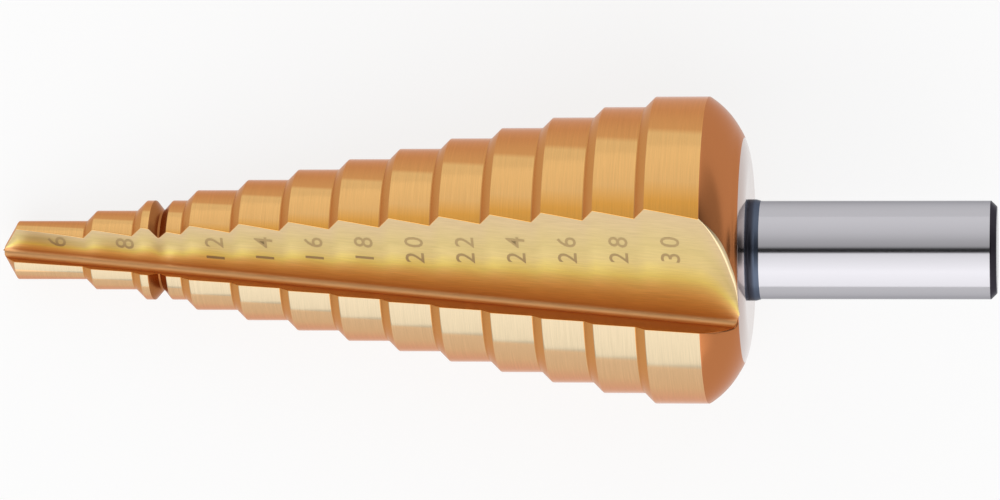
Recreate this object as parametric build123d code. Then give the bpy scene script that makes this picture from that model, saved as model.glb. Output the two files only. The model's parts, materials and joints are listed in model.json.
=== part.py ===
from build123d import *
from math import acos, asin, cos, degrees, radians, sin, sqrt, tan
import os

# A two-flute step drill for sheet metal, 6 to 30 mm, ground and turned from one bar of steel.
# It is made lying along X, with the point at the origin and the shank towards +X. The first cutting
# edge is at +Z and the first flute opens towards +Y, so the drill cuts turning right-handed. Last, it
# is laid down as it comes to rest: on the edges of its second flute, with the first flute on top.

os.makedirs("parts", exist_ok=True)

# Driving dimensions, in millimetres and degrees.
smallest_diameter = 6.0
diameter_step = 2.0
step_count = 13
point_angle = 118.0
chamfer_angle = 45.0
first_land_length = 6.8
land_length = 4.0
last_land_length = 5.2

# The stop groove cut into the land of the third step.
groove_step = 2
groove_setback = 0.8
groove_width = 1.75
groove_floor_width = 0.2
groove_depth = 1.05

# Each side is ground about a centre that lies off the axis, so that it falls away behind its edge.
relief_offset = 0.2
relief_direction = 20.0

# The flutes are V grooves with a rounded root. The web is the steel left between their two floors, and
# each root lies a little past the middle of the drill, under its own cutting face.
web_at_point = 0.6
web_at_last_step = 18.9
rake_angle = 24.5
root_setback_at_point = 0.6
root_setback_at_last_step = 1.4
root_radius = 0.6

# The turned back of the head, which rounds off from the last land to a flat face, the collar and the shank.
back_length = 3.9
back_round_radius = 8.4
collar_diameter = 9.8
collar_length = 0.6
collar_taper_length = 0.5
shank_diameter = 9.5
shank_chamfer = 0.6
overall_length = 97.5

# Places along the axis, worked out from the sizes above.
smallest_radius = smallest_diameter / 2
step_rise = diameter_step / 2
largest_radius = smallest_radius + (step_count - 1) * step_rise
point_slope = tan(radians(point_angle / 2))
point_length = smallest_radius / point_slope
chamfer_length = step_rise / tan(radians(chamfer_angle))


def corner_x(step):
    """The place along the axis of the corner where a step reaches its full diameter."""
    if step == 0:
        return point_length
    return point_length + first_land_length + chamfer_length + (step - 1) * (land_length + chamfer_length)


last_corner_x = corner_x(step_count - 1)
last_land_end = last_corner_x + last_land_length
back_face = last_land_end + back_length
collar_end = back_face + collar_length

# Where the relief puts the centre of the side that opens to +Y.
relief_y = -relief_offset * sin(radians(relief_direction))
relief_z = -relief_offset * cos(radians(relief_direction))


def turned(outline):
    """One solid of revolution about X from a closed outline in the XZ plane."""
    return revolve(Plane.XZ * make_face(outline), Axis.X, 360)


def stepped_form():
    """The point, the steps and the round back as they are ground, about the relieved centre of one side."""
    shift = relief_z
    points = [(back_face, 0), (-shift / point_slope, 0), (point_length, smallest_radius + shift)]
    for step in range(1, step_count):
        radius = smallest_radius + step * step_rise + shift
        chamfer_foot = corner_x(step) - chamfer_length
        points.append((chamfer_foot, radius - step_rise))
        points.append((corner_x(step), radius))
    middle_x = back_face - back_round_radius
    back_turn = degrees(acos((last_land_end - middle_x) / back_round_radius))
    middle_r = largest_radius - back_round_radius * sin(radians(back_turn))
    rounding = CenterArc((middle_x, middle_r + shift), back_round_radius, 0, back_turn)
    outline = rounding + Polyline(rounding @ 0, *points, rounding @ 1)
    return Pos(0, relief_y, relief_z) * turned(outline)


def stop_groove():
    """The ring that the stop groove takes out of the third step's land."""
    outer = largest_radius
    land_radius = smallest_radius + groove_step * step_rise
    floor_radius = land_radius - groove_depth
    middle = corner_x(groove_step) + groove_setback + groove_width / 2
    flank_run = (groove_width - groove_floor_width) / 2
    mouth_reach = groove_width / 2 + flank_run * (outer - land_radius) / groove_depth
    points = [
        (middle - groove_floor_width / 2, floor_radius),
        (middle - mouth_reach, outer),
        (middle + mouth_reach, outer),
        (middle + groove_floor_width / 2, floor_radius),
    ]
    return turned(Polyline(points, close=True))


def along_flute(at_point, at_last_step, x):
    """A size that changes evenly along the flute, from the point to the last step."""
    return at_point + (at_last_step - at_point) * (x - point_length) / (last_corner_x - point_length)


def flute_floor(x):
    """The height of the first flute's floor above the axis: half the web."""
    return along_flute(web_at_point, web_at_last_step, x) / 2


def flute_section(x):
    """The flute across the axis: a level floor, a rounded root and a cutting face that leans over it."""
    floor = flute_floor(x)
    root_y = -along_flute(root_setback_at_point, root_setback_at_last_step, x)
    lean_y = sin(radians(rake_angle))
    lean_z = cos(radians(rake_angle))
    tangent = root_radius / tan(radians((90 - rake_angle) / 2))
    reach = 2 * largest_radius
    root = RadiusArc(
        (root_y + tangent, floor),
        (root_y + tangent * lean_y, floor + tangent * lean_z),
        root_radius,
    )
    face_top = (root_y + reach * lean_y, floor + reach * lean_z)
    sides = Polyline(root @ 1, face_top, (2 * reach, face_top[1]), (2 * reach, floor), root @ 0)
    return Plane.YZ.offset(x) * make_face(root + sides)


def flute():
    """The first flute, from ahead of the point to behind the head, where it has run out."""
    return loft([flute_section(-step_rise), flute_section(collar_end)], ruled=True)


def cutting_head():
    """The head: two relieved sides, half a turn apart, that overlap in the middle, less groove and flutes."""
    size = 2 * overall_length
    overlap = root_setback_at_last_step
    ground_side = Pos(0, size / 2 - overlap, 0) * Box(size, size, size)
    side = stepped_form() & ground_side
    blank = side + side.rotate(Axis.X, 180)
    first_flute = flute()
    return blank - stop_groove() - first_flute - first_flute.rotate(Axis.X, 180)


def shank():
    """The collar, its taper and the plain round shank with its end chamfer."""
    collar_radius = collar_diameter / 2
    shank_radius = shank_diameter / 2
    points = [
        (last_corner_x, 0),
        (last_corner_x, collar_radius),
        (collar_end, collar_radius),
        (collar_end + collar_taper_length, shank_radius),
        (overall_length - shank_chamfer, shank_radius),
        (overall_length, shank_radius - shank_chamfer),
        (overall_length, 0),
    ]
    return turned(Polyline(points, close=True))


def edge_corner(step):
    """The first flute's cutting corner at a step, where the leaning face meets the full radius."""
    x = corner_x(step)
    radius = smallest_radius + step * step_rise
    lean = radians(rake_angle)
    root_y = -along_flute(root_setback_at_point, root_setback_at_last_step, x)
    face_offset = root_y * cos(lean) - flute_floor(x) * sin(lean)
    angle = lean + asin(face_offset / radius)
    return Vector(x, radius * sin(angle), radius * cos(angle))


def heel_corner(step):
    """The corner across the first flute from the cutting corner, where its floor runs out of the land."""
    x = corner_x(step)
    ground_radius = smallest_radius + step * step_rise + relief_z
    floor = flute_floor(x)
    return Vector(x, relief_y + sqrt(ground_radius**2 - (floor - relief_z) ** 2), floor)


def resting_plane():
    """The floor under the drill, which touches the second flute's first and last corners and last heel."""
    half_turn = Rotation(180, 0, 0)
    last = step_count - 1
    contacts = [edge_corner(0), edge_corner(last), heel_corner(last)]
    first_corner, last_corner, last_heel = [(half_turn * Pos(*point)).position for point in contacts]
    down = (last_corner - first_corner).cross(last_heel - last_corner)
    up = -down.normalized()
    along = Vector(1, 0, 0) - up * up.X
    return Plane(origin=first_corner, x_dir=along, z_dir=up)


def at_rest(solid):
    """The solid laid on the floor, with the origin under the middle of its bounding box."""
    lying = resting_plane().location.inverse() * solid
    box = lying.bounding_box()
    return Pos(-box.center().X, -box.center().Y, -box.min.Z) * lying


step_drill = at_rest(cutting_head() + shank())
export_step(step_drill, "parts/step_drill.step")
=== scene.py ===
# %% [markdown]
# # A step drill, dressed from its own sizes
# A step drill cuts every hole from 6 to 30 mm with one tool. Its head is one bar of steel: turned to
# steps, ground behind each edge, cut by two V flutes, and coated. Its shank stays bare steel.
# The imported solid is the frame: it says where the drill lies. Here each surface is worked out again
# with numpy from the same sizes, because a formula gives smooth ground faces, small broken edges and a
# name for each kind of face, so that each can have its own finish.

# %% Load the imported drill
import json
import math

import bmesh
import bpy
import numpy as np
from mathutils import Matrix, Vector

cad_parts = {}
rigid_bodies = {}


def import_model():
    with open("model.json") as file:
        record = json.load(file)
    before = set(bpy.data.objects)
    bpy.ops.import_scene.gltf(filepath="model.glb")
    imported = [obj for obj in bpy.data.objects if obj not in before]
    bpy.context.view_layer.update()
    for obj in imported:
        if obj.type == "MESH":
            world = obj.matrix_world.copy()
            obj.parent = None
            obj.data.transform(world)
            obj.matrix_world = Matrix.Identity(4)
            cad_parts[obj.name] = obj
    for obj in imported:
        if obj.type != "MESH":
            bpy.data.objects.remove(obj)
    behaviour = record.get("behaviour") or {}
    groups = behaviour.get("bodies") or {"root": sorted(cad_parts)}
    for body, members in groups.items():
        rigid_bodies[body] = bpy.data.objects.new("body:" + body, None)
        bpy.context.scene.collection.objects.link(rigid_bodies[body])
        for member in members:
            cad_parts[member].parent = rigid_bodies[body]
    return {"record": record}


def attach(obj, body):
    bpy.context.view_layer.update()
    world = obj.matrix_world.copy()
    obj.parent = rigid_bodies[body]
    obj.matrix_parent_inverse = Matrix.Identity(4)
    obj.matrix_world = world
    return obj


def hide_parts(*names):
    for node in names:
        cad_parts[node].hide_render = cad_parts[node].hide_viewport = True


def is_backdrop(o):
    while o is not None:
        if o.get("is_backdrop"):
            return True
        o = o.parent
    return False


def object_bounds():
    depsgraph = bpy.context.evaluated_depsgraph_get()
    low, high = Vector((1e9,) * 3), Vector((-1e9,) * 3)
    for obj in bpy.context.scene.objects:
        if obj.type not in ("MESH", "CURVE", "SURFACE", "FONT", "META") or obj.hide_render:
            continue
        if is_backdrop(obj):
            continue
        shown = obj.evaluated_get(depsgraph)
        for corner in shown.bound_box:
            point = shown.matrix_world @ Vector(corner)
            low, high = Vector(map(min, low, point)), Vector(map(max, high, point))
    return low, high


for leftover in list(bpy.data.objects):
    bpy.data.objects.remove(leftover)
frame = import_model()
cad_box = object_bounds()
scene = bpy.context.scene
scene.view_settings.view_transform = "Standard"
print("the packed drill spans", [round((high - low) * 1000, 1) for low, high in zip(*cad_box)], "mm")

# %% [markdown]
# ## The sizes
# These are the drill's own sizes in millimetres and degrees, the same that its solid is built from.
# x runs along the axis, from the point to the shank. z points along the first cutting edge, and the
# first flute opens towards +y.

# %% Sizes of the head
smallest_radius = 3.0
step_rise = 1.0
step_count = 13
point_angle = math.radians(118)
point_slope = math.tan(point_angle / 2)
first_land_length = 6.8
land_length = 4.0
last_land_length = 5.2
largest_radius = smallest_radius + (step_count - 1) * step_rise
point_length = smallest_radius / point_slope

groove_step = 2
groove_setback = 0.8
groove_width = 1.75
groove_floor_width = 0.2
groove_depth = 1.05

relief_offset = 0.2
relief_direction = math.radians(20)
relief_y = -relief_offset * math.sin(relief_direction)
relief_z = -relief_offset * math.cos(relief_direction)

web_at_point = 0.6
web_at_last_step = 18.9
rake = math.radians(24.5)
root_setback_at_point = 0.6
root_setback_at_last_step = 1.4
root_radius = 0.6
print("the lands are", [round(2 * (smallest_radius + step * step_rise)) for step in range(step_count)],
      "mm across")

# %% Sizes of the back and the shank, and places along the axis
back_length = 3.9
back_round_radius = 8.4
collar_radius = 4.9
collar_length = 0.6
collar_taper_length = 0.5
shank_radius = 4.75
shank_chamfer = 0.6
overall_length = 97.5


def corner_x(step):
    """Where a step reaches its full radius: one land and one chamfer after the step before it."""
    if step == 0:
        return point_length
    return point_length + first_land_length + step_rise + (step - 1) * (land_length + step_rise)


last_corner_x = corner_x(step_count - 1)
last_land_end = last_corner_x + last_land_length
back_face = last_land_end + back_length
collar_end = back_face + collar_length
print("the last of", step_count, "steps ends", round(last_land_end, 2), "mm from the point")

# %% [markdown]
# ## The flute's path
# Each flute is a V groove with a rounded root. Across the axis it is a level floor, an arc, and a
# cutting face that leans over the floor. It rises towards the shank as the web grows thicker. A Boolean
# with a V-shaped cutter could make it too, but it would leave no rows of faces to round and to tint. So
# one function gives the flute's point at any place along the axis and any distance along the path, for
# whole arrays at once.

# %% The flute as a path across the axis
def along_flute(at_point, at_last_step, x):
    """A size that changes evenly along the flute."""
    return at_point + (at_last_step - at_point) * (x - point_length) / (last_corner_x - point_length)


tangent = root_radius / math.tan((math.pi / 2 - rake) / 2)
root_turn = math.pi / 2 + rake
root_length = root_radius * root_turn


def flute_path(x, s):
    """The first flute's point (y, z) at the distance s along its path, where 0 is the start of the root.

    Before 0 the path is the floor: y = start - s, z = floor. Then it turns about the root's centre,
    and after root_length it is the straight face, along (sin rake, cos rake).
    """
    floor = along_flute(web_at_point, web_at_last_step, x) / 2
    start = tangent - along_flute(root_setback_at_point, root_setback_at_last_step, x)
    turn = np.clip(s, 0, root_length) / root_radius
    on_floor = np.minimum(s, 0)
    on_face = np.maximum(s - root_length, 0)
    y = start - on_floor - root_radius * np.sin(turn) + on_face * math.sin(rake)
    z = floor + root_radius * (1 - np.cos(turn)) + on_face * math.cos(rake)
    return y, z


print("the root turns through", round(math.degrees(root_turn)), "degrees and is", round(root_length, 2),
      "mm long")

# %% [markdown]
# ## The ground form
# Seen from the side the head is one line: the 118 degree point, a land and a 45 degree chamfer for each
# step, and a round back. The line is a list of places and radii, and each stretch of it carries the
# name of its kind of face. First come the sharp corners, as they are on a drawing.

# %% The corners of the head's line
POINT, LAND, CHAMFER, GROOVE, BACK = range(5)
next_back_turn = 0.1
back_middle_x = back_face - back_round_radius
back_turn = math.acos((last_land_end - back_middle_x) / back_round_radius)
back_middle_r = largest_radius - back_round_radius * math.sin(back_turn)


def back_round(turns):
    """Points of the back's rounding: x = middle x + r cos t, radius = middle radius + r sin t."""
    x = back_middle_x + back_round_radius * np.cos(turns)
    radius = back_middle_r + back_round_radius * np.sin(turns)
    return np.stack((x, radius), axis=-1)


def groove_corners(start, radius):
    """The four corners of the stop groove: down one flank, across its floor and up the other."""
    flank = (groove_width - groove_floor_width) / 2
    floor = radius - groove_depth
    return [(start, radius, GROOVE), (start + flank, floor, GROOVE),
            (start + flank + groove_floor_width, floor, GROOVE), (start + groove_width, radius, LAND)]


def head_corners():
    """The corners as (x, radius, kind of the face that follows). The last is a place on the back."""
    corners = [(0.0, 0.0, POINT), (point_length, smallest_radius, LAND)]
    for step in range(1, step_count):
        x, radius = corner_x(step), smallest_radius + step * step_rise
        corners += [(x - step_rise, radius - step_rise, CHAMFER), (x, radius, LAND)]
        if step == groove_step:
            corners += groove_corners(x + groove_setback, radius)
    corners.append((last_land_end, largest_radius, BACK))
    corners.append((*back_round(back_turn - next_back_turn), BACK))
    return corners


print("the head's line has", len(head_corners()), "corners")

# %% [markdown]
# ## Broken corners
# Every corner of a real tool is broken a little by polishing and by the coating, and the break is what
# catches the light. So each corner of the line becomes a short curve that leaves both its sides
# smoothly. A Bevel modifier could do it, but it would treat every edge alike, and the rows would no
# longer tell which kind of face they belong to.

# %% The line of the head, with broken corners
corner_break = 0.07
longest_break = 0.4
corner_rows = 4
row_spacing = 0.9
first_back_turn = 0.03
back_rows = 44
back_face_rows = 8
tip_end = 0.15
tip_start = 0.3
point_rows = (0.165, 0.18, 0.2, 0.25, 0.3, 0.36, 0.44, 0.55, 0.7, 0.9, 1.1, 1.3, 1.5)


def broken_corner(before, corner, after):
    """Points round a corner: a parabola from one side to the other, which leaves both smoothly."""
    before, corner, after = (np.array(point[:2]) for point in (before, corner, after))
    back, on = before - corner, after - corner
    back_reach, on_reach = np.linalg.norm(back), np.linalg.norm(on)
    reach = min(corner_break, longest_break * back_reach, longest_break * on_reach)
    start = corner + back / back_reach * reach
    end = corner + on / on_reach * reach
    t = np.linspace(0, 1, corner_rows)[:, None]
    return (1 - t) ** 2 * start + 2 * t * (1 - t) * corner + t**2 * end


def straight_rows(start, end):
    """Evenly spaced places strictly between two points of the line."""
    count = max(int(np.linalg.norm(end - start) / row_spacing), 1)
    t = np.linspace(0, 1, count + 1)[1:-1, None]
    return (1 - t) * start + t * end


def head_line():
    """The whole line as rows of (x, radius), and the kind of face between each row and the next."""
    corners = head_corners()
    stretches = [(np.array([(x, max(x, tip_start) * point_slope) for x in point_rows]), POINT)]
    for i in range(1, len(corners) - 1):
        before, here, after = corners[i - 1:i + 2]
        arc = broken_corner(before, here, after)
        stretches.append((arc, here[2]))
        if i + 2 < len(corners):
            next_arc = broken_corner(here, after, corners[i + 2])
            stretches.append((straight_rows(arc[-1], next_arc[0]), here[2]))
    stretches.append((back_round(np.linspace(back_turn - first_back_turn, 0, back_rows)), BACK))
    flat = np.linspace(back_middle_r, collar_radius, back_face_rows)[1:]
    stretches.append((np.stack((np.full(len(flat), back_face), flat), axis=-1), BACK))
    kinds = np.concatenate([np.full(len(stretch), kind) for stretch, kind in stretches])
    return np.concatenate([stretch for stretch, kind in stretches]), kinds


line, line_kinds = head_line()
line_x, line_radius = line[:, 0], line[:, 1]
print("the head's line has", len(line), "rows, from", line[0].round(2), "to", line[-1].round(2))

# %% [markdown]
# ## Where the flute leaves the ground form
# The head is a grid. A row is one section across the axis, at one place of the line. A section is half
# of a land, then the flute's path, then both again half a turn on. The lands are ground about a centre
# that lies a little off the axis, which drops them behind the cutting edge: that is the relief. Where
# the flute's path leaves the ground circle, it stops, so the cutting edge, the heel and the run-out at
# the back all come from one rule.

# %% Heel and cutting edge of every section
tries = np.linspace(-2 * largest_radius, 2 * largest_radius, 6001)


def crossing(gap, first):
    """The distance along the path where the gap to the ground circle is nothing, between two tries."""
    rows = np.arange(len(gap))
    before, after = gap[rows, first], gap[rows, first + 1]
    return tries[first] + (tries[1] - tries[0]) * before / np.where(before == after, 1, before - after)


def inside_the_ground(x, ground, centre_y, centre_z):
    """How far along the flute's path it enters the ground form and leaves it, and whether it ever does.

    The path is tried at many distances at once. It enters through the near side's circle, where its
    heel is, and leaves through the far side's circle, where its cutting edge is.
    """
    y, z = flute_path(x[:, None], tries[None, :])
    heel_gap = np.hypot(y - centre_y[:, None], z - centre_z[:, None]) - ground[:, None]
    edge_gap = np.hypot(y + centre_y[:, None], z + centre_z[:, None]) - ground[:, None]
    first = np.argmax(heel_gap < 0, axis=1)
    last = len(tries) - 1 - np.argmax(edge_gap[:, ::-1] < 0, axis=1)
    cuts = (heel_gap.min(axis=1) < 0) & (edge_gap.min(axis=1) < 0)
    enter = crossing(heel_gap, np.maximum(first - 1, 0))
    leave = crossing(edge_gap, np.minimum(last, len(tries) - 2))
    return enter, leave, cuts & (leave > enter)


middle = np.array([last_corner_x])
entering, leaving, _ = inside_the_ground(middle, np.array([largest_radius]), 0 * middle, 0 * middle)
print("at the last step the flute's path is", round(float(leaving[0] - entering[0]), 1), "mm long")

# %% [markdown]
# ## Sharp edges, worn edges and where the relief ends
# The cutting edges stay nearly sharp. Where the flute runs out in the back, its edge is polished to a
# wide curve that shines. The relief is ground on the steps only: it fades out over the last millimetre
# of the back and in the stop groove's floor, which are both turned true to the axis.

# %% Helpers for the sections
edge_break = 0.05
run_out_break = 0.6
longest_edge_break = 0.2
fade_start = back_face - 1.2
fade_end = back_face - 0.45
break_columns = 4


def smooth_step(low, high, x):
    """0 below low, 1 above high, and a smooth rise between them: t squared times 3 less 2 t."""
    t = np.clip((x - low) / (high - low), 0, 1)
    return t * t * (3 - 2 * t)


def spread(start, end, columns):
    """Evenly spaced values from start to end, a row of them for each section."""
    return start[:, None] + (end - start)[:, None] * np.linspace(0, 1, columns + 1)[None, :]


def broken_edge(start, corner, end):
    """The points strictly inside a parabola that breaks an edge, for every section: (y, z)."""
    t = np.linspace(0, 1, break_columns + 1)[None, 1:-1]
    return [(1 - t) ** 2 * a[:, None] + 2 * t * (1 - t) * b[:, None] + t**2 * c[:, None]
            for a, b, c in zip(start, corner, end)]


def relief_share(x, radius, kinds):
    """How much of the relief a section has: all on the steps, none in the groove's floor or on the back."""
    land_radius = smallest_radius + groove_step * step_rise
    in_groove = (kinds == GROOVE) * (land_radius - radius) / groove_depth
    return (1 - smooth_step(fade_start, fade_end, x)) * (1 - np.clip(in_groove, 0, 1))


shares = relief_share(line_x, line_radius, line_kinds)
print("the relief is whole on", int(np.sum(shares == 1)), "rows and fades on", int(np.sum(shares < 1)))

# %% [markdown]
# ## The sections
# Half a section is made for all rows at once, as arrays. Beside the points it gives two measures that
# the finishes read later: the degrees behind the cutting edge, and the share across the flute's floor.
# At the very tip the two ground sides no longer meet, so the last sections shrink evenly to the end.

# %% Half of every section
land_columns = 84
floor_columns = 12
root_columns = 9
face_columns = 10


def path_places(start, end):
    """Distances along the flute's path, spread over its floor, its root and its face."""
    root_start, root_end = np.clip(0, start, end), np.clip(root_length, start, end)
    return np.concatenate((spread(start, root_start, floor_columns),
                           spread(root_start, root_end, root_columns)[:, 1:],
                           spread(root_end, end, face_columns)[:, 1:]), axis=1)


def half_sections(x, radius, fade):
    """Half of every section: y, z, the degrees behind the cutting edge and the share across the floor.

    The land is an arc about the relieved centre: y = cy + r cos a, z = cz + r sin a. Then come the
    broken heel, the flute's path and the broken cutting edge.
    """
    centre_y, centre_z, ground = relief_y * fade, relief_z * fade, radius + relief_z * fade
    enter, leave, cuts = inside_the_ground(x, ground, centre_y, centre_z)
    top = np.array((0 * x, centre_z + ground))
    heel = np.where(cuts, flute_path(x, enter), top)
    edge = np.where(cuts, flute_path(x, leave), top)
    heel_turn = np.arctan2(heel[1] - centre_z, heel[0] - centre_y)
    edge_turn = np.arctan2(-edge[1] - centre_z, -edge[0] - centre_y)
    broken = edge_break + (run_out_break - edge_break) * smooth_step(last_land_end, fade_start, x)
    broken = np.where(cuts, np.minimum(broken, longest_edge_break * (leave - enter)), 0)
    turns = spread(edge_turn + broken / ground, heel_turn - broken / ground, land_columns)
    land_y = centre_y[:, None] + ground[:, None] * np.cos(turns)
    land_z = centre_z[:, None] + ground[:, None] * np.sin(turns)
    start, end = enter + broken, leave - broken
    along = path_places(start, end)
    path_y, path_z = np.where(cuts[:, None], flute_path(x[:, None], along), heel[:, :, None])
    at_heel = broken_edge((land_y[:, -1], land_z[:, -1]), heel, (path_y[:, 0], path_z[:, 0]))
    at_edge = broken_edge((path_y[:, -1], path_z[:, -1]), edge, (-land_y[:, 0], -land_z[:, 0]))
    y = np.concatenate((land_y, at_heel[0], path_y, at_edge[0]), axis=1)
    z = np.concatenate((land_z, at_heel[1], path_z, at_edge[1]), axis=1)
    behind = np.degrees(turns - edge_turn[:, None])
    behind = np.concatenate((behind, np.repeat(behind[:, -1:], y.shape[1] - behind.shape[1], axis=1)), axis=1)
    across = np.zeros_like(y)
    across[:, :land_columns + break_columns] = 1
    floor_share = np.clip(-along, 0, None) / np.maximum(-start, edge_break)[:, None]
    across[:, land_columns + break_columns:-break_columns + 1] = np.clip(floor_share, 0, 1)
    return y, z, behind, across


half_y, half_z, half_behind, half_across = half_sections(np.maximum(line_x, tip_start), line_radius, shares)
print("half a section has", half_y.shape[1], "points")

# %% Whole sections
shrink = np.clip((line_x - tip_end) / (tip_start - tip_end), 0, 1)[:, None]
half_y, half_z = half_y * shrink, half_z * shrink
section_y = np.concatenate((half_y, -half_y), axis=1)
section_z = np.concatenate((half_z, -half_z), axis=1)
behind_edge = np.concatenate((half_behind, half_behind), axis=1)
across_floor = np.concatenate((half_across, half_across), axis=1)
rows, columns = section_y.shape
print("each of the", rows, "sections has", columns, "points")

# %% [markdown]
# ## Laid as it comes to rest
# A step drill can't stand up, so it lies on the corners of its second flute. The solid is packed that
# way, and the record's mount on the shank says where its axis ran. The roll about the axis follows
# from the three corners that touch the floor.

# %% The corners that touch the floor
def edge_corner(step):
    """The first flute's cutting corner at a step."""
    x, radius = corner_x(step), smallest_radius + step * step_rise
    floor = along_flute(web_at_point, web_at_last_step, x) / 2
    root_y = -along_flute(root_setback_at_point, root_setback_at_last_step, x)
    turn = rake + math.asin((root_y * math.cos(rake) - floor * math.sin(rake)) / radius)
    return Vector((x, radius * math.sin(turn), radius * math.cos(turn)))


def heel_corner(step):
    """The corner across the first flute, where its floor runs out of the land."""
    x, ground = corner_x(step), smallest_radius + step * step_rise + relief_z
    floor = along_flute(web_at_point, web_at_last_step, x) / 2
    return Vector((x, relief_y + math.sqrt(ground**2 - (floor - relief_z) ** 2), floor))


last_step = step_count - 1
half_turn = Matrix.Rotation(math.pi, 3, "X")
touching = [half_turn @ corner for corner in (edge_corner(0), edge_corner(last_step), heel_corner(last_step))]
print("it lies on", [tuple(round(value, 1) for value in corner) for corner in touching], "of its own axes")

# %% From the drill's own axes to where it lies
MM = 0.001
mount = frame["record"]["mounts"][0]
shank_axis = Vector(mount["axis"])
mount_x = (collar_end + collar_taper_length + overall_length - shank_chamfer) / 2
drill_origin = Vector(mount["pos_m"]) - shank_axis * mount_x * MM
down = (touching[1] - touching[0]).cross(touching[2] - touching[1])
up = -down.normalized()
ahead = (Vector((1, 0, 0)) - up * up.x).normalized()
to_world = Matrix((ahead, up.cross(ahead), up))
turn_array = np.array(to_world)
origin_array = np.array(drill_origin)


def laid(points):
    """Points from the drill's own axes, in millimetres, to where they lie, in metres."""
    return points @ turn_array.T * MM + origin_array


axis_gap = (to_world @ Vector((1, 0, 0))).angle(shank_axis)
print("the axis misses the mount's axis by", round(math.degrees(axis_gap), 4), "degrees")

# %% [markdown]
# ## Making the meshes
# A grid becomes a mesh by numbering its points and joining each to the next row and the next column.
# The two ends are closed with one flat face each. Where a row has no flute any more its path shrinks
# to a point, so doubled points are merged. Each point's shading normal is the average of its faces by
# area: wide ground faces stay flat, and the narrow broken corners turn the light between them.

# %% Faces and normals of a grid
least_length = 1e-30


def grid_faces(rows, columns):
    """The four corners of every face of a grid whose columns close on themselves, outwards."""
    i, j = np.meshgrid(np.arange(rows - 1), np.arange(columns), indexing="ij")
    on = (j + 1) % columns
    corners = (i * columns + j, i * columns + on, (i + 1) * columns + on, (i + 1) * columns + j)
    return np.stack(corners, axis=-1).reshape(-1, 4)


def ground_normals(mesh):
    """Gives every point the average of its faces' normals by area, as the normal it is shaded with."""
    count = len(mesh.polygons)
    normals, areas = np.empty(count * 3), np.empty(count)
    totals, corner_points = np.empty(count, int), np.empty(len(mesh.loops), int)
    mesh.polygons.foreach_get("normal", normals)
    mesh.polygons.foreach_get("area", areas)
    mesh.polygons.foreach_get("loop_total", totals)
    mesh.loops.foreach_get("vertex_index", corner_points)
    weighted = np.repeat(normals.reshape(-1, 3) * areas[:, None], totals, axis=0)
    sums = np.zeros((len(mesh.vertices), 3))
    np.add.at(sums, corner_points, weighted)
    sums /= np.maximum(np.linalg.norm(sums, axis=1, keepdims=True), least_length)
    mesh.normals_split_custom_set_from_vertices(sums)


print("a grid of 3 rows and 4 columns has", len(grid_faces(3, 4)), "faces")

# %% Closed pieces
merge_distance = 2e-7


def weld(mesh):
    """Merges doubled points. Gives the number of edges that don't join two faces, and the volume in mm3."""
    welded = bmesh.new()
    welded.from_mesh(mesh)
    bmesh.ops.remove_doubles(welded, verts=welded.verts, dist=merge_distance)
    bmesh.ops.dissolve_degenerate(welded, edges=welded.edges, dist=merge_distance)
    welded.to_mesh(mesh)
    open_edges = sum(len(edge.link_faces) != 2 for edge in welded.edges)
    volume = welded.calc_volume(signed=True) / MM**3
    welded.free()
    return open_edges, volume


def placed(name, mesh):
    """The object of a finished mesh. It is part of the drill's one body."""
    piece = bpy.data.objects.new(name, mesh)
    scene.collection.objects.link(piece)
    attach(piece, "root")
    return piece


def closed_grid(name, grid, kinds, finishes, attributes=()):
    """A closed piece from a grid of points (rows, columns, 3) in drill axes.

    kinds says which of the finishes each face has, and attributes are (name, a value for every point).
    """
    rows, columns = grid.shape[:2]
    first_end = tuple(range(columns - 1, -1, -1))
    last_end = tuple(range((rows - 1) * columns, rows * columns))
    faces = grid_faces(rows, columns).tolist() + [first_end, last_end]
    mesh = bpy.data.meshes.new(name)
    mesh.from_pydata(laid(grid.reshape(-1, 3)), [], faces)
    for finish in finishes:
        mesh.materials.append(finish)
    all_kinds = np.concatenate((kinds.reshape(-1), [kinds[0, 0], kinds[-1, 0]])).astype(np.int32)
    mesh.polygons.foreach_set("material_index", all_kinds)
    mesh.polygons.foreach_set("use_smooth", np.ones(len(mesh.polygons), bool))
    for label, values in attributes:
        layer = mesh.attributes.new(label, "FLOAT", "POINT")
        layer.data.foreach_set("value", values.reshape(-1).astype(np.float32))
    open_edges, volume = weld(mesh)
    ground_normals(mesh)
    print(name, "has", len(mesh.polygons), "faces,", open_edges, "open edges and", round(volume, 1), "mm3")
    return placed(name, mesh)


print("points nearer than", round(merge_distance / MM, 4), "mm are merged")

# %% [markdown]
# ## Making the finishes
# A metal's colour is all in its reflection, so every finish here is a metal, and they differ in tint
# and in how far the grinding has roughened them. What several metals share is built once as a node
# group: the lines that a grinding wheel leaves, and the way a coating's tint changes over a face.
# First come a few helpers, because a node and its links take many lines otherwise.

# %% Node helpers
def add(tree, kind, **settings):
    """A new node in a tree with some of its settings made."""
    node = tree.nodes.new(kind)
    for name, value in settings.items():
        setattr(node, name, value)
    return node


def join(tree, output, socket):
    """A link from one socket to another."""
    tree.links.new(output, socket)


def calculated(tree, operation, *values):
    """The result of a Math node. Each value is a plain number or another node's output."""
    node = add(tree, "ShaderNodeMath", operation=operation)
    for socket, value in zip(node.inputs, values):
        if isinstance(value, float):
            socket.default_value = value
        else:
            join(tree, value, socket)
    return node.outputs["Value"]


def ranged(tree, value, low, high, at_low, at_high, kind="LINEAR"):
    """A value that goes from at_low to at_high while another goes from low to high."""
    node = add(tree, "ShaderNodeMapRange", interpolation_type=kind)
    limits = {"From Min": low, "From Max": high, "To Min": at_low, "To Max": at_high}
    for label, number in limits.items():
        node.inputs[label].default_value = number
    join(tree, value, node.inputs["Value"])
    return node.outputs["Result"]


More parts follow.
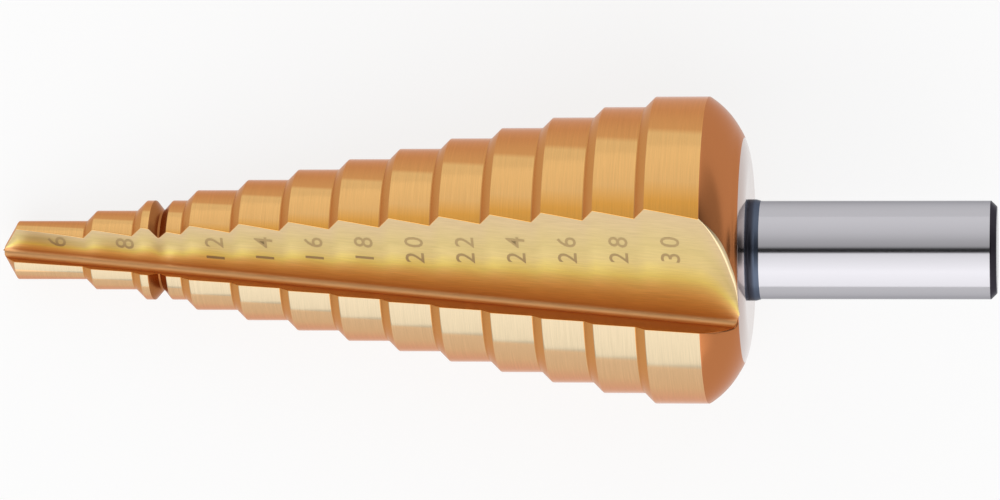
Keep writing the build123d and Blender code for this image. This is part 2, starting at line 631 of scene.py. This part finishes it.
def set_stops(ramp, stops):
    """The stops of a colour ramp, as (position, colour)."""
    while len(ramp.elements) < len(stops):
        ramp.elements.new(1.0)
    for stop, (position, colour) in zip(ramp.elements, stops):
        stop.position = position
        stop.color = (*colour, 1)


def new_group(name, inputs, outputs):
    """A node group with named inputs (name, type, value) and named outputs (name, type)."""
    tree = bpy.data.node_groups.new(name, "ShaderNodeTree")
    for label, kind, value in inputs:
        tree.interface.new_socket(label, in_out="INPUT", socket_type=kind).default_value = value
    for label, kind in outputs:
        tree.interface.new_socket(label, in_out="OUTPUT", socket_type=kind)
    return tree, add(tree, "NodeGroupInput"), add(tree, "NodeGroupOutput")


def use_group(tree, group, **values):
    """A group node in a material, with its inputs set by name."""
    node = add(tree, "ShaderNodeGroup", node_tree=group)
    for name, value in values.items():
        node.inputs[name].default_value = value
    return node


print("the node helpers are ready")

# %% [markdown]
# ## Grinding lines
# A grinding wheel leaves fine lines along its path. They are far too fine to model, so a noise that
# changes fast across the path and slowly along it bends the light instead. The group reads object
# coordinates and turns them into the drill's own axes first, because the drill lies askew. It puts out
# the mark itself, for tints, and a bumped normal.

# %% The grinding lines' group
noise_detail = 3.0
line_depth = 0.01 * MM
marks_group, given, put = new_group(
    "grinding_lines",
    [("Density", "NodeSocketVector", (1, 1, 1)), ("Depth", "NodeSocketFloat", 0.1)],
    [("Mark", "NodeSocketFloat"), ("Normal", "NodeSocketVector")])
place_of = add(marks_group, "ShaderNodeTexCoord")
turned = add(marks_group, "ShaderNodeMapping")
turned.inputs["Rotation"].default_value = to_world.transposed().to_euler()
turned.inputs["Location"].default_value = -(to_world.transposed() @ drill_origin)
stretched = add(marks_group, "ShaderNodeVectorMath", operation="MULTIPLY")
noise = add(marks_group, "ShaderNodeTexNoise", noise_dimensions="3D")
noise.inputs["Scale"].default_value = 1.0
noise.inputs["Detail"].default_value = noise_detail
bump = add(marks_group, "ShaderNodeBump")
bump.inputs["Distance"].default_value = line_depth
join(marks_group, place_of.outputs["Object"], turned.inputs["Vector"])
join(marks_group, turned.outputs["Vector"], stretched.inputs[0])
join(marks_group, given.outputs["Density"], stretched.inputs[1])
join(marks_group, stretched.outputs["Vector"], noise.inputs["Vector"])
join(marks_group, noise.outputs["Fac"], bump.inputs["Height"])
join(marks_group, given.outputs["Depth"], bump.inputs["Strength"])
join(marks_group, noise.outputs["Fac"], put.inputs["Mark"])
join(marks_group, bump.outputs["Normal"], put.inputs["Normal"])
print("at full depth the lines are", round(line_depth / MM, 3), "mm deep")

# %% [markdown]
# ## The coating's colour, with painted reflection
# The head is coated with a thin gold-coloured nitride, whose tint drifts a little with its thickness,
# but most of the changes below are painted reflection: they put into the colour the bright and dark
# panels of the tent that the polished faces mirror. On the lands the colour goes from cream behind the
# cutting edge through orange to yellow gold towards the heel, with sharp steps where a mirrored panel
# ends. On the flute's floor it goes from orange beside the root, painted shade in that corner, through
# a bright gold painted highlight to a dull gold at the heel. Both are colour ramps along a measure that
# the mesh carries: the degrees behind the cutting edge, or the share across the floor. The ridges of the
# grinding lines are painted a little lighter and their furrows darker, as painted highlight and shade.

# %% The tints' groups
half_turn_degrees = 180.0
# Painted reflection: these stops put the tent's bright and dark panels into the lands' colour, with sharp
# steps where a mirrored panel ends.
land_painted_reflection_stops = [
    (0, (0.53, 0.43, 0.285)), (16.2, (0.525, 0.425, 0.28)), (18.2, (0.67, 0.43, 0.23)),
    (31, (0.67, 0.415, 0.215)), (42, (0.665, 0.34, 0.19)), (60, (0.63, 0.29, 0.14)),
    (85, (0.585, 0.245, 0.082)), (98, (0.62, 0.29, 0.095)), (101, (0.735, 0.43, 0.16)),
    (123, (0.735, 0.42, 0.15)), (131, (0.74, 0.355, 0.07))]
whole_floor = 1.0
# Painted light: the orange beside the root is painted shade in the flute's corner, and the bright gold in the
# middle is a painted highlight.
floor_painted_light_stops = [
    (0.0, (0.73, 0.385, 0.165)), (0.05, (0.83, 0.49, 0.22)), (0.2, (0.96, 0.665, 0.265)),
    (0.35, (0.84, 0.71, 0.22)), (0.51, (0.64, 0.51, 0.225)), (0.65, (0.53, 0.415, 0.185)),
    (0.95, (0.505, 0.38, 0.215))]
# Painted shade and highlight: the colour is darkened in the grinding lines' furrows and lightened on their
# ridges.
furrow_mark, ridge_mark = 0.3, 0.7
furrow_painted_shade, ridge_painted_highlight = 0.93, 1.05


def tint_group(name, measure, whole, stops):
    """A group that gives the tint at a measure, where whole is the measure at the ramp's far end."""
    tree, given, put = new_group(
        name, [(measure, "NodeSocketFloat", 0.0), ("Mark", "NodeSocketFloat", 0.5)],
        [("Color", "NodeSocketColor")])
    tint = add(tree, "ShaderNodeValToRGB")
    set_stops(tint.color_ramp, [(place / whole, colour) for place, colour in stops])
    lightened = add(tree, "ShaderNodeVectorMath", operation="SCALE")
    light = ranged(tree, given.outputs["Mark"], furrow_mark, ridge_mark, furrow_painted_shade, ridge_painted_highlight)
    join(tree, calculated(tree, "DIVIDE", given.outputs[measure], whole), tint.inputs["Fac"])
    join(tree, tint.outputs["Color"], lightened.inputs[0])
    join(tree, light, lightened.inputs["Scale"])
    join(tree, lightened.outputs["Vector"], put.inputs["Color"])
    return tree


land_painted_reflection_tint = tint_group("coating_tint_and_painted_reflection", "Behind", half_turn_degrees, land_painted_reflection_stops)
floor_painted_light_tint = tint_group("flute_tint_and_painted_light", "Across", whole_floor, floor_painted_light_stops)
print("the tints have", len(land_painted_reflection_stops), "and", len(floor_painted_light_stops), "stops")

# %% [markdown]
# ## The metals
# Lands and chamfers are ground round the axis, so their lines run round. The flute is ground along the
# drill, so its lines run along it. The back is turned, and its coating has gone redder, while its inner
# part is wiped bare. The stop groove's narrow flanks are painted the darkest gold, painted shade in the
# narrow groove. The shank is bare ground steel, and heat has darkened its collar. The chamfer at the
# shank's end is coloured nearly black.

# %% One metal
ROUND_LINES = (16000.0, 260.0, 260.0)
ALONG_LINES = (130.0, 9000.0, 3500.0)
WARM_EDGE = (0.90, 0.70, 0.60)
DULL_EDGE = (0.55, 0.55, 0.57)
WHITE_EDGE = (1.0, 1.0, 1.0)


def metal(name, roughness, lines, depth, edge, colour=None, tint=None):
    """A metal with grinding lines, of one colour, or of a tint: (its group, the attribute, its input).

    edge is the colour that its reflection keeps where it is seen nearly edge on.
    """
    material = bpy.data.materials.new(name)
    material.use_nodes = True
    tree = material.node_tree
    shader = tree.nodes["Principled BSDF"]
    shader.inputs["Metallic"].default_value = 1.0
    shader.inputs["Roughness"].default_value = roughness
    shader.inputs["Specular Tint"].default_value = (*edge, 1)
    marks = use_group(tree, marks_group, Density=lines, Depth=depth)
    join(tree, marks.outputs["Normal"], shader.inputs["Normal"])
    if tint is None:
        shader.inputs["Base Color"].default_value = (*colour, 1)
        return material
    group, attribute, measure = tint
    place = add(tree, "ShaderNodeAttribute", attribute_name=attribute)
    tinted = use_group(tree, group)
    join(tree, place.outputs["Fac"], tinted.inputs[measure])
    join(tree, marks.outputs["Mark"], tinted.inputs["Mark"])
    join(tree, tinted.outputs["Color"], shader.inputs["Base Color"])
    return material


print("a line round the axis is", round(ROUND_LINES[0] / ROUND_LINES[1]), "times as long as it is wide")

# %% The head's and the shank's metals
head_metals = {
    "coated_land": dict(roughness=0.15, lines=ROUND_LINES, depth=0.05, edge=WARM_EDGE,
                        tint=(land_painted_reflection_tint, "behind", "Behind")),
    "coated_chamfer": dict(roughness=0.24, lines=ROUND_LINES, depth=0.08, edge=WARM_EDGE,
                           colour=(0.57, 0.265, 0.08)),
    "coated_back": dict(roughness=0.22, lines=ROUND_LINES, depth=0.05, edge=WARM_EDGE,
                        colour=(0.47, 0.172, 0.062)),
    "coated_flute_floor": dict(roughness=0.42, lines=ALONG_LINES, depth=0.10, edge=WARM_EDGE,
                               tint=(floor_painted_light_tint, "across", "Across")),
    "coated_cutting_face": dict(roughness=0.30, lines=ALONG_LINES, depth=0.10, edge=WARM_EDGE,
                                colour=(0.62, 0.315, 0.088)),
    "bare_back_face": dict(roughness=0.12, lines=ROUND_LINES, depth=0.03, edge=WHITE_EDGE,
                           colour=(0.525, 0.42, 0.385)),
    # Partly a painted highlight: the run-out's polished edge is coloured lighter than the lands.
    "coated_run_out_edge_painted_highlight": dict(roughness=0.30, lines=ROUND_LINES, depth=0.03, edge=WARM_EDGE,
                                colour=(0.78, 0.61, 0.37)),
    # Painted shade: the narrow stop groove is coloured the darkest gold.
    "coated_groove_painted_shade": dict(roughness=0.26, lines=ROUND_LINES, depth=0.08, edge=WARM_EDGE,
                          colour=(0.33, 0.12, 0.035)),
}
shank_metals = {
    "dark_collar": dict(roughness=0.30, lines=ROUND_LINES, depth=0.05, edge=DULL_EDGE,
                        colour=(0.085, 0.105, 0.15)),
    "bare_steel": dict(roughness=0.11, lines=ROUND_LINES, depth=0.05, edge=DULL_EDGE,
                       colour=(0.50, 0.49, 0.52)),
    # The chamfer at the shank's end is coloured nearly black.
    "dark_end_chamfer": dict(roughness=0.3, lines=ROUND_LINES, depth=0.05, edge=DULL_EDGE,
                       colour=(0.04, 0.035, 0.045)),
}
head_finishes = [metal(name, **values) for name, values in head_metals.items()]
shank_finishes = [metal(name, **values) for name, values in shank_metals.items()]
(LAND_FINISH, CHAMFER_FINISH, BACK_FINISH, FLOOR_FINISH, FACE_FINISH, BARE_FINISH, RUN_OUT_HIGHLIGHT_FINISH,
 SHADED_GROOVE_FINISH) = range(len(head_finishes))
COLLAR_FINISH, STEEL_FINISH, END_FINISH = range(len(shank_finishes))
print("the head has", len(head_finishes), "metals and the shank", len(shank_finishes))

# %% [markdown]
# ## The head
# The head is the grid of all its sections, one closed piece like the bar that it is ground from. Each
# face gets its finish by two rules. On the lands the kind of its row decides, and in the flute its
# place on the path does. So each finish ends at an edge, where a painted mask would blur. The innermost
# part of the back has lost its coating, and the wide edge of the run-out has a lighter finish of its
# own, partly a painted highlight on its polished curve.

# %% The head's mesh
bare_edge = 0.58


def head_finish_map():
    """The finish of every face of the head, as a grid of rows and columns."""
    by_kind = np.array([CHAMFER_FINISH, LAND_FINISH, CHAMFER_FINISH, SHADED_GROOVE_FINISH, BACK_FINISH])
    by_row = by_kind[line_kinds[:-1]]
    column = np.arange(columns) % (columns // 2)
    path_start = land_columns + break_columns
    face_start = path_start + floor_columns + root_columns
    at_heel = (column >= land_columns) & (column < path_start)
    on_floor = (column >= path_start) & (column < face_start)
    on_face = (column >= face_start) & (column < face_start + face_columns)
    finishes = np.broadcast_to(by_row[:, None], (rows - 1, columns)).copy()
    finishes[np.ix_(by_row == BACK_FINISH, at_heel)] = RUN_OUT_HIGHLIGHT_FINISH
    finishes[line_x[:-1] > back_face - bare_edge] = BARE_FINISH
    finishes[:, on_floor] = FLOOR_FINISH
    finishes[:, on_face] = FACE_FINISH
    return finishes


head_grid = np.stack((np.broadcast_to(line_x[:, None], section_y.shape), section_y, section_z), axis=-1)
head = closed_grid("coated_head", head_grid, head_finish_map(), head_finishes,
                   [("behind", behind_edge), ("across", across_floor)])
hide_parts("step_drill")

# %% [markdown]
# ## The collar and the shank
# The shank is turned and ground round, with a chamfer at its end, and a short collar where it meets the
# head. It is a line turned about the axis: y = r cos a, z = r sin a. A Screw modifier could turn it too,
# but as a grid it is closed, broken at its corners and finished by the same code as the head. It starts
# inside the head, so that no gap can show between the two.

# %% The shank's mesh
shank_columns = 160
end_middle_radius = 0.5


def shank_line():
    """The line of the collar, taper, shank, chamfer and end, with its corners broken, and its finishes."""
    shank_start, shank_end = collar_end + collar_taper_length, overall_length - shank_chamfer
    corners = [(back_face - collar_length, collar_radius, COLLAR_FINISH),
               (collar_end, collar_radius, COLLAR_FINISH),
               (shank_start, shank_radius, STEEL_FINISH),
               (shank_end, shank_radius, END_FINISH),
               (overall_length, shank_radius - shank_chamfer, STEEL_FINISH),
               (overall_length, 0.0, STEEL_FINISH)]
    rows, kinds = [np.array([corners[0][:2]])], [COLLAR_FINISH]
    for before, here, after in zip(corners, corners[1:], corners[2:]):
        arc = broken_corner(before, here, after)
        rows.append(arc)
        kinds += [here[2]] * len(arc)
    rows.append(np.array([[overall_length, end_middle_radius]]))
    kinds.append(STEEL_FINISH)
    return np.concatenate(rows), np.array(kinds)


turned_line, turned_kinds = shank_line()
turns = np.linspace(0, 2 * math.pi, shank_columns, endpoint=False)
turned_x, turned_radius = turned_line[:, 0, None], turned_line[:, 1, None]
ring_y, ring_z = turned_radius * np.cos(turns), turned_radius * np.sin(turns)
shank_grid = np.stack(np.broadcast_arrays(turned_x, ring_y, ring_z), axis=-1)
shank_kinds = np.broadcast_to(turned_kinds[:-1, None], (len(turned_line) - 1, shank_columns))
shank = closed_grid("steel_shank", shank_grid, shank_kinds, shank_finishes)
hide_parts("step_drill")

# %% [markdown]
# ## The numbers
# Each land's size is marked on the flute's floor beside it. The marks are etched, so they have no height
# of their own. The floor's finish could draw them, but flat figures a hair above the floor stay sharp
# from any distance. The built-in font draws each number as a curve, and the curve is made a mesh before
# its points are put in their place. The 10 is left out, because the stop groove takes its place.

# %% One number
figure_height = 1.9
capital_share = 0.72
figure_spacing = 1.35
figure_weight = 0.012
figure_smoothness = 3
figure_lift = 0.012
floor_share_aside = 0.685


def figure_mesh(text, x, aside):
    """The points (in drill axes) and faces of one number, which stands across the flute's floor."""
    curve = bpy.data.curves.new("figure", "FONT")
    curve.body = text
    curve.size = figure_height / capital_share
    curve.space_character = figure_spacing
    curve.offset = figure_weight
    curve.align_x = "CENTER"
    curve.align_y = "CENTER"
    curve.resolution_u = figure_smoothness
    writing = bpy.data.objects.new("figure", curve)
    scene.collection.objects.link(writing)
    mesh = bpy.data.meshes.new_from_object(writing.evaluated_get(bpy.context.evaluated_depsgraph_get()))
    flat = np.empty(len(mesh.vertices) * 3)
    mesh.vertices.foreach_get("co", flat)
    flat = flat.reshape(-1, 3)
    faces = [tuple(face.vertices) for face in mesh.polygons]
    bpy.data.objects.remove(writing)
    bpy.data.curves.remove(curve)
    bpy.data.meshes.remove(mesh)
    across = floor_share_aside * along_flute(web_at_point, web_at_last_step, x) / 2 + aside
    place_x = x - flat[:, 1]
    height = along_flute(web_at_point, web_at_last_step, place_x) / 2 + figure_lift
    return np.stack((place_x, across + flat[:, 0], height), axis=1), faces


print("the figures are", figure_height, "mm high")

# %% All the numbers
marked_sizes = (6, 8, *range(12, 31, 2))
number_x = 2.4
first_numbers_aside = {6: 1.0, 8: 0.75}
first_numbers_along = {6: 1.75, 8: 0.9}
points, faces, count = [], [], 0
for size in marked_sizes:
    step = round((size / 2 - smallest_radius) / step_rise)
    x = corner_x(step) + number_x + first_numbers_along.get(size, 0.0)
    figure, figure_faces = figure_mesh(str(size), x, first_numbers_aside.get(size, 0.0))
    points.append(figure)
    faces += [tuple(count + k for k in face) for face in figure_faces]
    count += len(figure)
numbers_mesh = bpy.data.meshes.new("size_numbers")
numbers_mesh.from_pydata(laid(np.concatenate(points)), [], faces)
etched = metal("etched_mark", roughness=0.5, lines=ALONG_LINES, depth=0.1, edge=WHITE_EDGE,
               colour=(0.39, 0.285, 0.14))
numbers_mesh.materials.append(etched)
size_numbers = placed("size_numbers", numbers_mesh)
print("the numbers have", len(size_numbers.data.polygons), "faces")

# %% [markdown]
# ## The camera
# The drill is seen across its axis, from above the first flute, with its point to the left. A constraint
# could aim the camera, but it is placed in the drill's own axes and laid down with it, so the two can't
# drift apart. A long lens from half a metre away shows all the steps from nearly the same side.

# %% Camera
view_roll = math.radians(34.41)
view_tilt = math.radians(6.654)
view_distance = 515.92
aim_along_axis = 47.8
aim_to_right = 1.502
towards = Vector((0, math.sin(view_roll), math.cos(view_roll)))
image_up = Vector((0, math.cos(view_roll), -math.sin(view_roll)))
along_axis = Vector((1, 0, 0))
to_camera = along_axis * math.sin(view_tilt) + towards * math.cos(view_tilt)
to_right = along_axis * math.cos(view_tilt) - towards * math.sin(view_tilt)
aim = along_axis * aim_along_axis + to_right * aim_to_right
camera_data = bpy.data.cameras.new("camera")
camera_data.sensor_width = 36
camera_data.lens = 190.98
camera_data.clip_start, camera_data.clip_end = 0.01, 10
camera = bpy.data.objects.new("camera", camera_data)
camera.location = drill_origin + to_world @ (aim + to_camera * view_distance) * MM
sides = Matrix((to_world @ to_right, to_world @ image_up, to_world @ to_camera)).transposed()
camera.rotation_euler = sides.to_euler()
scene.collection.objects.link(camera)
scene.camera = camera
print("the camera stands", round(view_distance), "mm from the drill")

# %% [markdown]
# ## The floor
# The floor is a pale light table. A plain white floor would go grey in the drill's shadow, and one that
# only shone would show no shadow at all. So most of what the camera and the metal see of it is its own
# white, and the rest is light that falls on it. The shadow stays, but it is soft and light.

# %% Pale floor
light_table = 0.8
paper_white = 0.98
floor_radius = 1.5
floor_sides = 64
floor_turns = np.linspace(0, 2 * math.pi, floor_sides, endpoint=False)
floor_circle = (floor_radius * np.cos(floor_turns), floor_radius * np.sin(floor_turns), 0 * floor_turns)
floor_mesh = bpy.data.meshes.new("floor")
floor_mesh.from_pydata(np.stack(floor_circle, axis=1), [], [tuple(range(floor_sides))])
paper = bpy.data.materials.new("pale_floor")
paper.use_nodes = True
paper_tree = paper.node_tree
paper_shader = paper_tree.nodes["Principled BSDF"]
paper_shader.inputs["Base Color"].default_value = (paper_white, paper_white, paper_white, 1)
paper_shader.inputs["Roughness"].default_value = 1.0
paper_shader.inputs["Specular IOR Level"].default_value = 0.0
own_white = add(paper_tree, "ShaderNodeEmission")
ray = add(paper_tree, "ShaderNodeLightPath").outputs
seen = calculated(paper_tree, "MAXIMUM", ray["Is Camera Ray"], ray["Is Glossy Ray"])
seen = calculated(paper_tree, "MAXIMUM", seen, ray["Is Transmission Ray"])
mixed = add(paper_tree, "ShaderNodeMixShader")
join(paper_tree, calculated(paper_tree, "MULTIPLY", seen, light_table), mixed.inputs[0])
join(paper_tree, paper_shader.outputs["BSDF"], mixed.inputs[1])
join(paper_tree, own_white.outputs["Emission"], mixed.inputs[2])
join(paper_tree, mixed.outputs["Shader"], paper_tree.nodes["Material Output"].inputs["Surface"])
floor_mesh.materials.append(paper)
floor = bpy.data.objects.new("floor", floor_mesh)
scene.collection.objects.link(floor)
floor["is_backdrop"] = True
print("the floor is", 2 * floor_radius, "m across and", light_table, "of it is its own light")

# %% [markdown]
# ## The light
# Polished metal shows what is around it, so the light is a tent. Lamps would show as spots in every
# land, so the world's shader draws the tent instead: a bright side below the drill as the camera sees
# it, a softer one above, and a narrow dark gap between them where a camera would look through. It goes
# by the angle round the drill's axis. Either end is darker, and so is the corner behind the camera
# towards the shank. Its mean level is about 1, so colours come out about as written.

# %% A tent of light
tent_stops = [
    (-180, 0.85), (-94, 1.6), (-80, 1.65), (-52, 1.78), (-32, 1.56), (-19, 1.42), (-8.5, 1.3),
    (-5.5, 0.03), (2.5, 0.03), (6.5, 0.5), (10, 0.62), (20, 0.7), (31, 0.84), (41, 0.94), (57, 1.03),
    (75, 1.09), (94, 1.09), (180, 0.85)]
brightest = max(level for degrees, level in tent_stops)
ends_from, ends_to, ends_share = 0.6, 0.95, 0.5
corner_from, corner_to, corner_share = 0.22, 0.46, 0.2
world = bpy.data.worlds.new("tent")
scene.world = world
world.use_nodes = True
tent_tree = world.node_tree
background = tent_tree.nodes["Background"]
direction = add(tent_tree, "ShaderNodeTexCoord")


def along_direction(vector):
    """How far each direction goes along a unit vector."""
    node = add(tent_tree, "ShaderNodeVectorMath", operation="DOT_PRODUCT")
    node.inputs[1].default_value = vector
    join(tent_tree, direction.outputs["Generated"], node.inputs[0])
    return node.outputs["Value"]


along_tent = along_direction(to_world @ along_axis)
across_tent = along_direction(to_world @ towards)
turn = calculated(tent_tree, "ARCTAN2", along_direction(to_world @ image_up), across_tent)
panels = add(tent_tree, "ShaderNodeValToRGB")
grey_stops = [((degrees + 180) / 360, (level / brightest,) * 3) for degrees, level in tent_stops]
set_stops(panels.color_ramp, grey_stops)
join(tent_tree, ranged(tent_tree, turn, -math.pi, math.pi, 0.0, 1.0), panels.inputs["Fac"])
lean = calculated(tent_tree, "ABSOLUTE", along_tent)
ends = ranged(tent_tree, lean, ends_from, ends_to, brightest, ends_share * brightest, "SMOOTHSTEP")
toward_shank = calculated(tent_tree, "MULTIPLY", along_tent, across_tent)
dark_corner = ranged(tent_tree, toward_shank, corner_from, corner_to, 1.0, corner_share, "SMOOTHSTEP")
join(tent_tree, panels.outputs["Color"], background.inputs["Color"])
join(tent_tree, calculated(tent_tree, "MULTIPLY", ends, dark_corner), background.inputs["Strength"])
print("the tent's levels run from", min(level for degrees, level in tent_stops), "to", brightest)

# %% [markdown]
# ## The size of what is shown
# The finished pieces are meant to fill the imported solid's box and no more. Both boxes are measured,
# and the largest gap between them is printed.

# %% Both boxes
box_gap = np.abs(np.array(cad_box) - np.array(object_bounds())).max()
print("the two boxes differ by at most", round(float(box_gap) / MM, 3), "mm")
